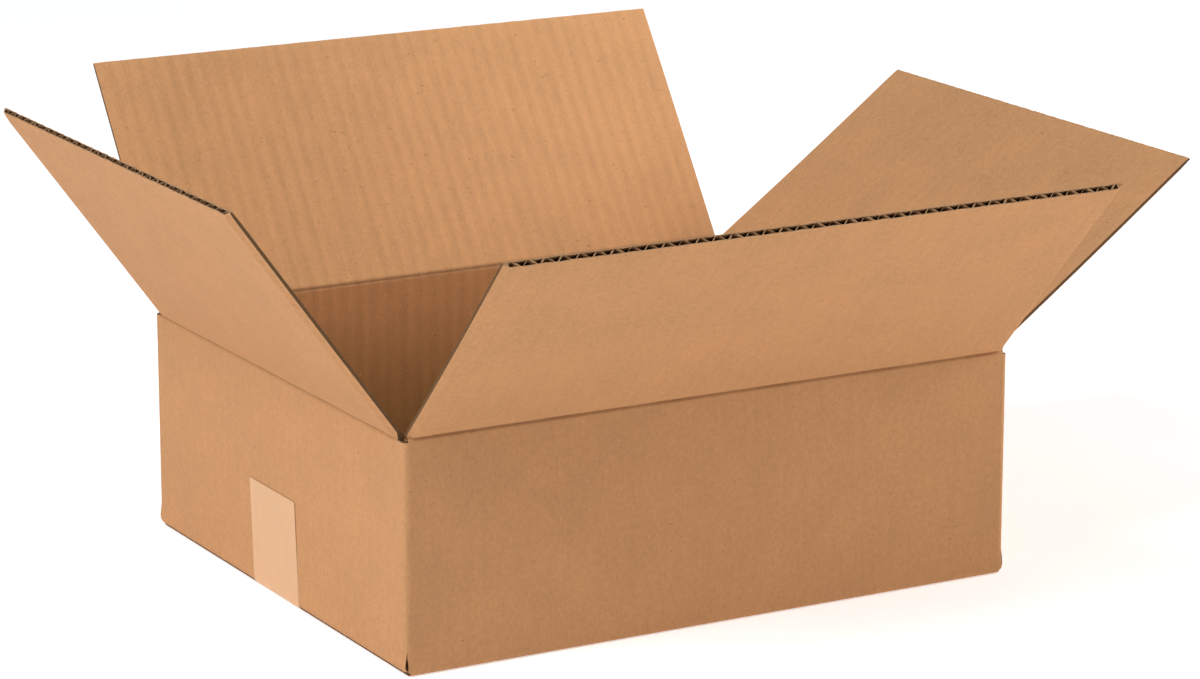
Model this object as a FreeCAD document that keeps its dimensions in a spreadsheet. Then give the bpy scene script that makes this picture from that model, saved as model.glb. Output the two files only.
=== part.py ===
import FreeCAD, Part
import math
import os
import Sketcher

# Open corrugated carton with four top flaps and a taped bottom. Millimetres.
# The origin is the centre of the base, +X runs along the long side, +Z is up.
# The front long wall faces -Y and the left short wall, with the taped end, faces -X.
#
# The box is one scored and slotted blank. Board that stays put (walls, bottom flaps, glue tab)
# is one folded piece. Each top flap is a piece of its own, joined to its wall along the crushed
# score. Short-wall flaps fold first and lie under the long-wall flaps, so the long-wall scores
# sit higher by what the board needs.

doc = FreeCAD.newDocument("OpenCarton")
sheet = doc.addObject("Spreadsheet::Sheet", "Sizes")

# Driving sizes: alias, value, meaning
SIZES = [
    ("length", 313.0, "outside length of the box"),
    ("width", 265.0, "outside width of the box"),
    ("height", 106.2, "base to the score of the short-wall flaps"),
    ("board", 4.0, "thickness of the corrugated board"),
    ("liner", 0.4, "facing paper on each side of the flutes"),
    ("medium", 0.32, "fluted paper between the facings"),
    ("pitch", 8.15, "one full flute wave"),
    ("flank", 46.0, "slope of the flute flanks, degrees from the facing"),
    ("crush", 7.0, "reach of the crushed board each side of a score"),
    ("score_board", 2.6, "thickness left at a score"),
    ("score_depth", 2.0, "fold line of a long flap, measured in from the outer face"),
    ("fold_gap", 0.15, "play each side of a fold line"),
    ("lap_gap", 0.2, "air between two flaps that lie on each other"),
    ("seam", 0.8, "gap where two long flaps meet over the middle"),
    ("wall_bevel", 48.0, "crushed slope of a long wall under its fold, degrees"),
    ("flap_bevel", 62.0, "crushed slope of a long flap above its fold, degrees"),
    ("long_slot", 2.25, "corner to the cut side of a long flap"),
    ("short_slot", 7.0, "corner to the cut side of a short flap"),
    ("slot_drop", 0.3, "depth of the corner slots below the short score"),
    ("slot_ease", 1.0, "room beside a closing short flap"),
    ("corner_round", 3.5, "outer radius of the upright creases"),
    ("corner_inside", 1.0, "inner radius of the upright creases"),
    ("base_fold", 2.5, "outer radius of the folds along the base"),
    ("base_rise", 1.8, "height of the short walls' lower score above the base"),
    ("tab_width", 35.0, "glue tab inside the back right corner"),
    ("tab_board", 3.4, "thickness of the pressed glue tab"),
    ("tab_taper", 9.0, "slant at each end of the glue tab"),
    ("tab_ease", 1.2, "room above and below the glue tab"),
    ("tape_width", 48.0, "width of the sealing tape"),
    ("tape_gauge", 0.15, "thickness of the sealing tape"),
    ("tape_start", 6.0, "height where the tape's upright ends begin"),
    ("tape_leg", 51.2, "height of the tape ends on the short walls"),
    ("tape_skew", 2.8, "sideways run of the left tape end over its height"),
    ("front_lean_angle", 43.5, "front flap, degrees out from upright"),
    ("back_lean_angle", 35.1, "back flap, degrees out from upright"),
    ("left_lean_angle", 36.1, "left flap, degrees out from upright"),
    ("right_lean_angle", 54.1, "right flap, degrees out from upright"),
]
for row, (alias, value, meaning) in enumerate(SIZES, start=1):
    sheet.set(f"A{row}", str(value))
    sheet.setAlias(f"A{row}", alias)
    sheet.set(f"B{row}", meaning)
doc.recompute()

# Sizes that follow from the driving ones
HALF_X = "(Sizes.length / 2)"
HALF_Y = "(Sizes.width / 2)"
INNER = "(Sizes.board - Sizes.score_depth)"
LIP = "(Sizes.score_board - Sizes.score_depth)"
LONG_SCORE = f"(Sizes.height + {INNER} + Sizes.lap_gap)"
SLOT_FLOOR = "(Sizes.height - Sizes.slot_drop)"
LONG_WIDTH = "(Sizes.length - 2 * Sizes.long_slot)"
SHORT_WIDTH = "(Sizes.width - 2 * Sizes.short_slot)"
# The long flaps meet over the middle. One straight cut ends all four flaps of the blank.
LONG_REACH = f"({HALF_Y} - Sizes.score_depth - Sizes.seam / 2)"
SHORT_REACH = f"({LONG_REACH} + {LONG_SCORE} - Sizes.height)"
BASE_REACH = f"({HALF_Y} - Sizes.seam / 2 + Sizes.base_rise)"
LAYER_LOW = "(Sizes.board + Sizes.lap_gap)"
LAYER_TOP = "(2 * Sizes.board + Sizes.lap_gap)"
# One flute cell between the facings: its height, flank run, half width at the foot, tip radius
CELL = "(Sizes.board - 2 * Sizes.liner - Sizes.medium)"
RUN = f"({CELL} / tan(Sizes.flank))"
FOOT = f"((Sizes.pitch / 2 - Sizes.medium * tan(Sizes.flank / 2) + {RUN}) / 2)"
TIP_ROUND = f"(({FOOT} - {RUN}) / tan(Sizes.flank / 2))"


def value(text):
    """Number that a size expression gives now."""
    found = sheet.evalExpression(text)
    return float(getattr(found, "Value", found))


def origin_plane(body, role):
    """Origin plane of a body, such as XY_Plane."""
    return [item for item in body.Origin.OriginFeatures if item.Role == role][0]


def new_body(name):
    """Empty body whose label is the name of the piece."""
    body = doc.addObject("PartDesign::Body", name)
    body.Label = name
    return body


def pin_point(sketch, segment, end, axis, text, name):
    """Tie one coordinate of a sketch point to a size expression."""
    if text == "0":
        line = -2 if axis == "X" else -1
        sketch.addConstraint(Sketcher.Constraint("PointOnObject", segment, end, line))
        return
    rule = Sketcher.Constraint("Distance" + axis, segment, end, value(text))
    index = sketch.addConstraint(rule)
    sketch.renameConstraint(index, name)
    sketch.setExpression("Constraints." + name, text)


def add_loop(sketch, corners, prefix):
    """Closed outline of lines and arcs.

    A corner is (x, y) or (x, y, centre x, centre y, radius, turn), all expressions, where the
    longer form starts an arc to the next corner and turn is +1 for anticlockwise.
    """
    places = [FreeCAD.Vector(value(c[0]), value(c[1]), 0) for c in corners]
    ends = []
    for i, corner in enumerate(corners):
        here = places[i]
        there = places[(i + 1) % len(places)]
        if len(corner) == 2:
            segment = sketch.addGeometry(Part.LineSegment(here, there), False)
            ends.append((segment, 1, 2))
            continue
        centre = FreeCAD.Vector(value(corner[2]), value(corner[3]), 0)
        radius = value(corner[4])
        first, last = (here, there) if corner[5] > 0 else (there, here)
        start = math.atan2(first.y - centre.y, first.x - centre.x)
        stop = math.atan2(last.y - centre.y, last.x - centre.x)
        circle = Part.Circle(centre, FreeCAD.Vector(0, 0, 1), radius)
        segment = sketch.addGeometry(Part.ArcOfCircle(circle, start, stop), False)
        ends.append((segment, 1, 2) if corner[5] > 0 else (segment, 2, 1))
    for i, corner in enumerate(corners):
        segment, start, stop = ends[i]
        after, after_start, _ = ends[(i + 1) % len(ends)]
        sketch.addConstraint(
            Sketcher.Constraint("Coincident", segment, stop, after, after_start)
        )
        pin_point(sketch, segment, start, "X", corner[0], f"{prefix}x{i}")
        pin_point(sketch, segment, start, "Y", corner[1], f"{prefix}y{i}")
        if len(corner) > 2:
            index = sketch.addConstraint(
                Sketcher.Constraint("Radius", segment, value(corner[4]))
            )
            sketch.renameConstraint(index, f"{prefix}r{i}")
            sketch.setExpression(f"Constraints.{prefix}r{i}", corner[4])


def new_sketch(body, name, role, loops, offset=None):
    """Sketch on an origin plane of the body, moved along the plane's normal if asked."""
    sketch = body.newObject("Sketcher::SketchObject", name)
    sketch.AttachmentSupport = [(origin_plane(body, role), "")]
    sketch.MapMode = "FlatFace"
    if offset:
        sketch.setExpression("AttachmentOffset.Base.z", offset)
    for number, corners in enumerate(loops):
        add_loop(sketch, corners, "abcd"[number])
    doc.recompute()
    return sketch


def pad(body, name, sketch, length, both_sides=False, reverse=False):
    """Pad a sketch by a size expression."""
    feature = body.newObject("PartDesign::Pad", name)
    feature.Profile = sketch
    feature.SideType = "Symmetric" if both_sides else "One side"
    feature.Reversed = reverse
    feature.setExpression("Length", length)
    body.Tip = feature
    doc.recompute()
    return feature


def pocket(body, name, sketch, length, both_sides=False, reverse=False):
    """Cut a sketch out of the body and make sure that it took material away."""
    before = body.Shape.Volume
    feature = body.newObject("PartDesign::Pocket", name)
    feature.Profile = sketch
    feature.SideType = "Symmetric" if both_sides else "One side"
    feature.Reversed = reverse
    feature.setExpression("Length", length)
    body.Tip = feature
    doc.recompute()
    if body.Shape.Volume >= before:
        raise RuntimeError(name + " cuts nothing")
    return feature


def mirrored(body, name, feature, role):
    """Mirror a feature across an origin plane."""
    copy = body.newObject("PartDesign::Mirrored", name)
    copy.Originals = [feature]
    copy.MirrorPlane = (origin_plane(body, role), [""])
    body.Tip = copy
    doc.recompute()
    return copy


def rounded_rectangle(half_x, half_y, radius):
    """Outline of a rectangle about the origin with rounded corners."""
    x_in = f"({half_x} - {radius})"
    y_in = f"({half_y} - {radius})"
    return [
        (f"-{x_in}", f"-{half_y}"),
        (x_in, f"-{half_y}", x_in, f"-{y_in}", radius, 1),
        (half_x, f"-{y_in}"),
        (half_x, y_in, x_in, y_in, radius, 1),
        (x_in, half_y),
        (f"-{x_in}", half_y, f"-{x_in}", y_in, radius, 1),
        (f"-{half_x}", y_in),
        (f"-{half_x}", f"-{y_in}", f"-{x_in}", f"-{y_in}", radius, 1),
    ]


# Tape: one strip under the bottom seam that turns up both short walls. Its seat in the board
# is cut from the same outlines, so the strip lies flush.
TURN = "atan(Sizes.base_rise / Sizes.long_slot)"
LOW_MITRE = f"(Sizes.tape_gauge * tan({TURN} / 2))"
HIGH_MITRE = f"(Sizes.tape_gauge * tan((90 deg - {TURN}) / 2))"


def tape_strip_outline():
    """Section of the strip along X, from one short wall under the base to the other."""
    outer = HALF_X
    under = f"({HALF_X} - Sizes.long_slot)"
    skin = f"({HALF_X} - Sizes.tape_gauge)"
    under_in = f"({under} - {LOW_MITRE})"
    high_in = f"(Sizes.base_rise + {HIGH_MITRE})"
    return [
        (f"-{outer}", "Sizes.tape_start"),
        (f"-{outer}", "Sizes.base_rise"),
        (f"-{under}", "0"),
        (under, "0"),
        (outer, "Sizes.base_rise"),
        (outer, "Sizes.tape_start"),
        (skin, "Sizes.tape_start"),
        (skin, high_in),
        (under_in, "Sizes.tape_gauge"),
        (f"-{under_in}", "Sizes.tape_gauge"),
        (f"-{skin}", high_in),
        (f"-{skin}", "Sizes.tape_start"),
    ]


def tape_end_outline(skew):
    """Upright end of the tape on a short wall, in Y and Z."""
    half = "Sizes.tape_width / 2"
    return [
        (f"-{half}", "Sizes.tape_start"),
        (half, "Sizes.tape_start"),
        (f"{half} + {skew}", "Sizes.tape_leg"),
        (f"-{half} + {skew}", "Sizes.tape_leg"),
    ]


def tape_shapes(body, make, prefix):
    """Make the strip and its two upright ends in a body, as pads or as pockets."""
    strip = new_sketch(body, prefix + "StripOutline", "XZ_Plane", [tape_strip_outline()])
    make(body, prefix + "Strip", strip, "Sizes.tape_width", both_sides=True)
    cutting = make is pocket
    left = new_sketch(
        body, prefix + "LeftOutline", "YZ_Plane", [tape_end_outline("Sizes.tape_skew")],
        offset=f"-{HALF_X}",
    )
    make(body, prefix + "Left", left, "Sizes.tape_gauge", reverse=cutting)
    right = new_sketch(
        body, prefix + "RightOutline", "YZ_Plane", [tape_end_outline("0 * Sizes.tape_skew")],
        offset=HALF_X,
    )
    make(body, prefix + "Right", right, "Sizes.tape_gauge", reverse=not cutting)


# Carton: walls, bottom flaps and glue tab
carton = new_body("carton")

wall_ring = new_sketch(
    carton,
    "WallRingOutline",
    "XY_Plane",
    [
        rounded_rectangle(HALF_X, HALF_Y, "Sizes.corner_round"),
        rounded_rectangle(
            f"({HALF_X} - Sizes.board)", f"({HALF_Y} - Sizes.board)", "Sizes.corner_inside"
        ),
    ],
    offset="Sizes.base_rise",
)
pad(carton, "WallRing", wall_ring, f"{SLOT_FLOOR} - Sizes.base_rise")

# Long wall from its fold line down, round the base fold and in to the middle seam
long_section = new_sketch(
    carton,
    "LongWallSection",
    "YZ_Plane",
    [[
        (f"-{HALF_Y} + Sizes.score_depth", f"{LONG_SCORE} - Sizes.fold_gap"),
        (
            f"-{HALF_Y}",
            f"{LONG_SCORE} - Sizes.fold_gap - Sizes.score_depth * tan(Sizes.wall_bevel)",
        ),
        (
            f"-{HALF_Y}", "Sizes.base_fold",
            f"-{HALF_Y} + Sizes.base_fold", "Sizes.base_fold", "Sizes.base_fold", 1,
        ),
        (f"-{HALF_Y} + Sizes.base_fold", "0"),
        ("-Sizes.seam / 2", "0"),
        ("-Sizes.seam / 2", "Sizes.board"),
        (f"-{HALF_Y} + Sizes.board", "Sizes.board"),
        (f"-{HALF_Y} + Sizes.board", f"{LONG_SCORE} - Sizes.crush"),
        (f"-{HALF_Y} + Sizes.score_board", f"{LONG_SCORE} - Sizes.fold_gap - {LIP}"),
    ]],
)
front_side = pad(carton, "FrontWall", long_section, LONG_WIDTH, both_sides=True)
mirrored(carton, "BackWall", front_side, "XZ_Plane")

# The board thins towards the score on the inside, as the creasing wheel leaves it
long_crush = new_sketch(
    carton,
    "LongCrushSection",
    "YZ_Plane",
    [[
        (f"-{HALF_Y} + Sizes.board", f"{LONG_SCORE} - Sizes.crush"),
        (f"-{HALF_Y} + 2 * Sizes.board", f"{LONG_SCORE} - Sizes.crush"),
        (f"-{HALF_Y} + 2 * Sizes.board", f"{LONG_SCORE} - Sizes.fold_gap - {LIP}"),
        (f"-{HALF_Y} + Sizes.score_board", f"{LONG_SCORE} - Sizes.fold_gap - {LIP}"),
    ]],
)
front_crush = pocket(carton, "FrontCrush", long_crush, LONG_WIDTH, both_sides=True)
mirrored(carton, "BackCrush", front_crush, "XZ_Plane")

# Short bottom flap, folded in before the long ones and so lying on top of them
short_section = new_sketch(
    carton,
    "ShortFlapSection",
    "XZ_Plane",
    [[
        (f"-{HALF_X}", LAYER_LOW),
        (f"-{HALF_X} + {BASE_REACH}", LAYER_LOW),
        (f"-{HALF_X} + {BASE_REACH}", LAYER_TOP),
        (f"-{HALF_X}", LAYER_TOP),
    ]],
)
left_base = pad(carton, "LeftBaseFlap", short_section, SHORT_WIDTH, both_sides=True)
mirrored(carton, "RightBaseFlap", left_base, "YZ_Plane")

# Short wall: its top rises to the fold line at the outer face and is crushed inside
short_ridge = new_sketch(
    carton,
    "ShortRidgeSection",
    "XZ_Plane",
    [[
        (f"-{HALF_X}", "Sizes.height - Sizes.fold_gap"),
        (f"-{HALF_X}", "Sizes.height - Sizes.crush"),
        (f"-{HALF_X} + Sizes.board", "Sizes.height - Sizes.crush"),
        (
            f"-{HALF_X} + Sizes.score_board",
            "Sizes.height - Sizes.fold_gap - Sizes.score_board",
        ),
    ]],
)
left_ridge = pad(carton, "LeftRidge", short_ridge, SHORT_WIDTH, both_sides=True)
mirrored(carton, "RightRidge", left_ridge, "YZ_Plane")

short_crush = new_sketch(
    carton,
    "ShortCrushSection",
    "XZ_Plane",
    [[
        (f"-{HALF_X}", "Sizes.height - Sizes.fold_gap"),
        (
            f"-{HALF_X} + Sizes.score_board",
            "Sizes.height - Sizes.fold_gap - Sizes.score_board",
        ),
        (f"-{HALF_X} + Sizes.board", "Sizes.height - Sizes.crush"),
        (f"-{HALF_X} + 2 * Sizes.board", "Sizes.height - Sizes.crush"),
        (f"-{HALF_X} + 2 * Sizes.board", "Sizes.height - Sizes.fold_gap"),
    ]],
)
left_crush = pocket(
    carton, "LeftCrush", short_crush, f"{SHORT_WIDTH} + 2 * Sizes.slot_ease", both_sides=True
)
mirrored(carton, "RightCrush", left_crush, "YZ_Plane")

# Glue tab: the pressed end of the blank, inside the back wall at the right corner
TAB_ROOT = f"({HALF_X} - Sizes.board)"
TAB_LOW = f"({LAYER_TOP} + Sizes.tab_ease)"
TAB_HIGH = "(Sizes.height - Sizes.crush - Sizes.tab_ease)"
tab_outline = new_sketch(
    carton,
    "GlueTabOutline",
    "XZ_Plane",
    [[
        (TAB_ROOT, TAB_LOW),
        (TAB_ROOT, TAB_HIGH),
        (f"{TAB_ROOT} - Sizes.tab_width", f"{TAB_HIGH} - Sizes.tab_taper"),
        (f"{TAB_ROOT} - Sizes.tab_width", f"{TAB_LOW} + Sizes.tab_taper"),
    ]],
    offset=f"-({HALF_Y} - Sizes.board)",
)
pad(carton, "GlueTab", tab_outline, "Sizes.tab_board")

tape_shapes(carton, pocket, "TapeSeat")

# Tape strip
bottom_tape = new_body("bottom_tape")
tape_shapes(bottom_tape, pad, "Tape")


def flute_cell(axis, facing, side):
    """Outline of one open flute cell seen from the cut edge.

    Args:
        axis: X of the middle of the cell.
        facing: height of the facing that the foot of the cell lies on.
        side: 1 if the cell rises from that facing, -1 if it hangs from it.
    """
    tip = f"({facing} + {side} * ({CELL} - {TIP_ROUND}))"
    wide = f"{TIP_ROUND} * sin(Sizes.flank)"
    low = f"{tip} + {side} * {TIP_ROUND} * cos(Sizes.flank)"
    slim = f"{TIP_ROUND} * sin(Sizes.flank / 3)"
    high = f"{tip} + {side} * {TIP_ROUND} * cos(Sizes.flank / 3)"
    return [
        (f"{axis} - {FOOT}", facing),
        (f"{axis} + {FOOT}", facing),
        (f"{axis} + {wide}", low),
        (f"{axis} + {slim}", high),
        (f"{axis} - {slim}", high),
        (f"{axis} - {wide}", low),
    ]


def build_flap(name, width, reach, score, lean, turn, place):
    """One top flap: crushed root, flat board, and flutes open at the free edge and the sides.

    The piece is drawn flat: X along the fold line, Y out to the free edge, Z to the outer face.

    Args:
        name: name of the piece.
        width: size of the flap along its fold line.
        reach: fold line to the free edge.
        score: depth of the fold line from the outer face, or "0".
        lean: degrees out from upright.
        turn: degrees about Z from the front wall to this one.
        place: X, Y and Z of the middle of the fold line.
    """
    body = new_body(name)
    outer = score
    inner = f"(Sizes.board - {score})"
    lip = f"(Sizes.score_board - {score})"
    root = [(f"Sizes.fold_gap + {lip}", f"-{lip}"), ("Sizes.fold_gap", "0")]
    if score != "0":
        root.append((f"Sizes.fold_gap + {score} * tan(Sizes.flap_bevel)", outer))
    section = new_sketch(
        body,
        name + "_section",
        "YZ_Plane",
        [
            [("Sizes.crush", f"-{inner}")]
            + root
            + [(reach, outer), (reach, f"-{inner}")]
        ],
    )
    pad(body, name + "_board", section, width, both_sides=True)
    start = f"(-{width} / 2)"
    flutes = new_sketch(
        body,
        name + "_flute_ends",
        "XZ_Plane",
        [
            flute_cell(start, f"(Sizes.liner - {inner})", 1),
            flute_cell(f"({start} + Sizes.pitch / 2)", f"({score} - Sizes.liner)", -1),
        ],
        offset=f"-{reach}",
    )
    cells = pocket(body, name + "_flutes", flutes, f"{reach} - Sizes.crush", reverse=True)
    before = body.Shape.Volume
    row_of_cells = body.newObject("PartDesign::LinearPattern", name + "_flute_row")
    row_of_cells.Originals = [cells]
    row_of_cells.Direction = (flutes, ["H_Axis"])
    row_of_cells.Mode = "Spacing"
    row_of_cells.setExpression("Offset", "Sizes.pitch")
    row_of_cells.setExpression("Occurrences", f"ceil({width} / Sizes.pitch) + 1")
    body.Tip = row_of_cells
    doc.recompute()
    if body.Shape.Volume >= before:
        raise RuntimeError(name + " has no row of flutes")
    spin = f"rotation(vector(0; 0; 1); {turn}) * rotation(vector(1; 0; 0); 90 + {lean})"
    spot = f"vector({place[0]}; {place[1]}; {place[2]})"
    body.setExpression("Placement", f"placement({spot}; {spin})")
    doc.recompute()
    return body


front_flap = build_flap(
    "front_flap", LONG_WIDTH, LONG_REACH, "Sizes.score_depth", "Sizes.front_lean_angle", 0,
    ("0", f"-{HALF_Y} + Sizes.score_depth", LONG_SCORE),
)
back_flap = build_flap(
    "back_flap", LONG_WIDTH, LONG_REACH, "Sizes.score_depth", "Sizes.back_lean_angle", 180,
    ("0", f"{HALF_Y} - Sizes.score_depth", LONG_SCORE),
)
left_flap = build_flap(
    "left_flap", SHORT_WIDTH, SHORT_REACH, "0", "Sizes.left_lean_angle", -90,
    (f"-{HALF_X}", "0", "Sizes.height"),
)
right_flap = build_flap(
    "right_flap", SHORT_WIDTH, SHORT_REACH, "0", "Sizes.right_lean_angle", 90,
    (HALF_X, "0", "Sizes.height"),
)

# Every feature has to be sound and every piece one closed solid before it is written
doc.recompute()
for item in doc.Objects:
    if "Invalid" in item.State or "Error" in item.State:
        raise RuntimeError(item.Name + " failed: " + ", ".join(item.State))
pieces = [carton, bottom_tape, front_flap, back_flap, left_flap, right_flap]
for piece in pieces:
    if piece.Shape.isNull() or not piece.Shape.isValid():
        raise RuntimeError(piece.Label + " has no valid shape")
    if len(piece.Shape.Solids) != 1:
        raise RuntimeError(piece.Label + " is not one solid")

os.makedirs("parts", exist_ok=True)
for piece in pieces:
    piece.Shape.exportStep("parts/" + piece.Label + ".step")
    box = piece.Shape.BoundBox
    print(
        piece.Label,
        f"volume {piece.Shape.Volume:.1f}",
        f"x {box.XMin:.2f} {box.XMax:.2f}",
        f"y {box.YMin:.2f} {box.YMax:.2f}",
        f"z {box.ZMin:.2f} {box.ZMax:.2f}",
    )
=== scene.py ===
"""Open corrugated carton: four panels of one scored blank, its glue tab and a strip of tape.

Each panel is one sheet, as in the real box: bottom flap, base fold, wall, top score and top
flap, with open flutes at its cut edges. The carton's lengths are in millimetres up to the
meshes, and those of the materials and of the studio in metres.
"""

import logging
import math
from dataclasses import dataclass, field
from enum import Enum
from functools import cached_property

import bmesh
import bpy
import numpy as np
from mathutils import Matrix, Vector

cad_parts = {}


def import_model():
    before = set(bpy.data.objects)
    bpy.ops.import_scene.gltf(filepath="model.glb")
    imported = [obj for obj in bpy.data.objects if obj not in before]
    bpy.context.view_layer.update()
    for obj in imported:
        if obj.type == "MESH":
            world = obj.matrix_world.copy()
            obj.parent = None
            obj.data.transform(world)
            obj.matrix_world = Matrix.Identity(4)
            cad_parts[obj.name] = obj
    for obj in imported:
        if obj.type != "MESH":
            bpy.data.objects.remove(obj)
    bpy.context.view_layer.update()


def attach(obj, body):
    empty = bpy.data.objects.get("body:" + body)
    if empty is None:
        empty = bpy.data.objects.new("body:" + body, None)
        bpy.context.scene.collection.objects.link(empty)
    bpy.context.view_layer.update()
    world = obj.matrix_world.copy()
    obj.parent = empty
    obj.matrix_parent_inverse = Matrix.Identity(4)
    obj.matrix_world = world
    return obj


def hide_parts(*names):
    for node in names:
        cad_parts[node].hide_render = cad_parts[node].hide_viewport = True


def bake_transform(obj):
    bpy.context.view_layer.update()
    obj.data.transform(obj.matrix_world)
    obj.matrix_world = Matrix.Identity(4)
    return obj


LOG = logging.getLogger("carton")
MM = 0.001
# Layers from the outer face: facing, hollow, medium, hollow, facing
LAYERS = 5
HOLLOW = (1, 3)
WHITE = (1.0, 1.0, 1.0)

Array = np.ndarray
Pair = tuple[float, float]
Triple = tuple[float, float, float]


class Finish(Enum):
    """Material slots of a sheet of board, in the order in which the mesh holds them."""

    OUTER = 0
    INNER = 1
    FLUTE = 2
    CUT = 3
    SIDE = 4
    MEDIUM = 5


class Speckle(Enum):
    """Noise on a surface: scale on each axis, features per metre, octaves, share of the finer."""

    CLOUDS = ((1.0, 1.0, 1.0), 34.0, 3.0, 0.55)
    BLOTCHES = ((1.0, 0.45, 1.0), 210.0, 2.0, 0.55)
    FIBRES = ((0.22, 1.0, 1.0), 2600.0, 3.0, 0.7)
    GRAIN = ((1.0, 1.0, 1.0), 1250.0, 2.0, 0.6)
    MOTTLE = ((1.0, 0.7, 1.0), 520.0, 2.0, 0.6)
    STREAKS = ((1.0, 0.06, 1.0), 330.0, 2.0, 0.6)
    RAGGED = ((1.0, 0.05, 1.0), 160.0, 2.0, 0.55)
    DARK_SPECKS = ((0.5, 1.0, 1.0), 720.0, 1.0, 0.55)
    PALE_SPECKS = ((1.0, 0.45, 1.0), 1050.0, 1.0, 0.55)
    RAW_FIBRES = ((0.4, 1.0, 1.6), 3400.0, 3.0, 0.7)
    RAW_PATCHES = ((1.0, 1.0, 1.0), 420.0, 2.0, 0.55)
    TAPE_LINES = ((1.0, 0.03, 1.0), 900.0, 2.0, 0.55)
    TAPE_CLOUDS = ((1.0, 1.0, 1.0), 90.0, 3.0, 0.55)
    TAPE_GRAIN = ((1.0, 1.0, 1.0), 1500.0, 2.0, 0.55)
    FLOOR_CLOUDS = ((1.0, 1.0, 1.0), 3.0, 2.0, 0.55)


class Value:
    """One output in a shader graph. Operators on it add Math nodes."""

    def __init__(self, graph: "Graph", link: bpy.types.NodeSocket) -> None:
        """Keep the graph and the output socket."""
        self.graph = graph
        self.link = link

    def _math(self, operation: str, first: "Value | float", second: "Value | float") -> "Value":
        """Math node with two inputs."""
        return self.graph.node(
            "ShaderNodeMath", {"operation": operation}, {0: first, 1: second}
        )

    def __add__(self, other: "Value | float") -> "Value":
        """Sum."""
        return self._math("ADD", self, other)

    def __radd__(self, other: float) -> "Value":
        """Sum with a number on the left."""
        return self._math("ADD", other, self)

    def __sub__(self, other: "Value | float") -> "Value":
        """Difference."""
        return self._math("SUBTRACT", self, other)

    def __mul__(self, other: "Value | float") -> "Value":
        """Product."""
        return self._math("MULTIPLY", self, other)

    def fade(self, start: float, stop: float, low: float = 0.0, high: float = 1.0) -> "Value":
        """Smooth step of this value, from low at start to high at stop."""
        return self.graph.node(
            "ShaderNodeMapRange",
            {"interpolation_type": "SMOOTHSTEP"},
            {"Value": self, "From Min": start, "From Max": stop, "To Min": low, "To Max": high},
        )

    def wave(self, period: float) -> "Value":
        """Cosine of this value, from -1 to 1, with waves of the given period."""
        return self.graph.node(
            "ShaderNodeMath", {"operation": "COSINE"}, {0: self * (2 * math.pi / period)}
        )


class Graph:
    """Node tree of one material."""

    def __init__(self, name: str) -> None:
        """Start the empty tree of a new material."""
        self.material = bpy.data.materials.new(name)
        self.material.use_nodes = True
        self.tree = self.material.node_tree
        self.tree.nodes.clear()

    def node(
        self, kind: str, settings: dict | None = None, inputs: dict | None = None,
        output: str | int = 0,
    ) -> Value:
        """Add any node.

        Args:
            kind: node type.
            settings: properties that are set first.
            inputs: values or links of the sockets.
            output: socket that is returned.

        Returns:
            The chosen output.
        """
        made = self.tree.nodes.new(kind)
        for key, setting in (settings or {}).items():
            setattr(made, key, setting)
        for key, given in (inputs or {}).items():
            if isinstance(given, Value):
                self.tree.links.new(given.link, made.inputs[key])
            else:
                made.inputs[key].default_value = given
        return Value(self, made.outputs[output] if made.outputs else None)

    def attribute(self, name: str, output: str = "Fac") -> Value:
        """Stored value of the mesh."""
        return self.node("ShaderNodeAttribute", {"attribute_name": name}, output=output)

    def axis(self, vector: Value, number: int) -> Value:
        """One axis of a vector."""
        return self.node("ShaderNodeSeparateXYZ", {}, {0: vector}, number)

    def stretch(self, vector: Value, scale: "Value | Triple") -> Value:
        """Vector or colour times a scale on each axis."""
        return self.node(
            "ShaderNodeVectorMath", {"operation": "MULTIPLY"}, {0: vector, 1: scale}
        )

    def speckle(self, kind: Speckle, place: Value) -> Value:
        """Noise from 0 to 1.

        Args:
            kind: its size and grain.
            place: place on the surface.

        Returns:
            The noise value.
        """
        scale, per_metre, octaves, finer = kind.value
        inputs = {
            "Vector": self.stretch(place, scale), "Scale": per_metre, "Detail": octaves,
            "Roughness": finer,
        }
        return self.node("ShaderNodeTexNoise", {"noise_dimensions": "3D"}, inputs)

    def mix(self, factor: Value, first: "Value | tuple", second: "Value | tuple") -> Value:
        """Blend of two colours, where the factor is the share of the second one."""
        return self.node(
            "ShaderNodeMix",
            {"data_type": "RGBA", "clamp_factor": True},
            {0: factor, 6: rgba(first), 7: rgba(second)},
            output=2,
        )

    def shade(self, colour: "Value | Triple", amount: Value) -> Value:
        """Colour made lighter or darker by a factor."""
        return self.node(
            "ShaderNodeVectorMath", {"operation": "SCALE"}, {0: colour, "Scale": amount}
        )

    def bump(self, height: Value, reach: float) -> Value:
        """Surface normal from a height, of which 1 stands for reach in metres."""
        return self.node(
            "ShaderNodeBump", {}, {"Height": height, "Strength": 1.0, "Distance": reach}
        )

    def finish(
        self, colour: Value, roughness: "Value | float", normal: Value | None, specular: float,
        glow: Value | None = None,
    ) -> bpy.types.Material:
        """Close the tree with a paper-like surface.

        Args:
            colour: base colour.
            roughness: roughness.
            normal: bent normal, if there is one.
            specular: specular level.
            glow: colour of the light that the surface gives off, if it gives off any.

        Returns:
            The material.
        """
        inputs = {
            "Base Color": colour,
            "Roughness": roughness,
            "Specular IOR Level": specular,
        }
        if normal is not None:
            inputs["Normal"] = normal
        if glow is not None:
            inputs["Emission Color"] = glow
            inputs["Emission Strength"] = 1.0
        surface = self.node("ShaderNodeBsdfPrincipled", {}, inputs)
        self.node("ShaderNodeOutputMaterial", {}, {"Surface": surface})
        return self.material


def rgba(colour: "Value | tuple") -> "Value | tuple":
    """Colour with full alpha where it is a plain one."""
    if isinstance(colour, Value):
        return colour
    return (*colour, 1.0)


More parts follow.
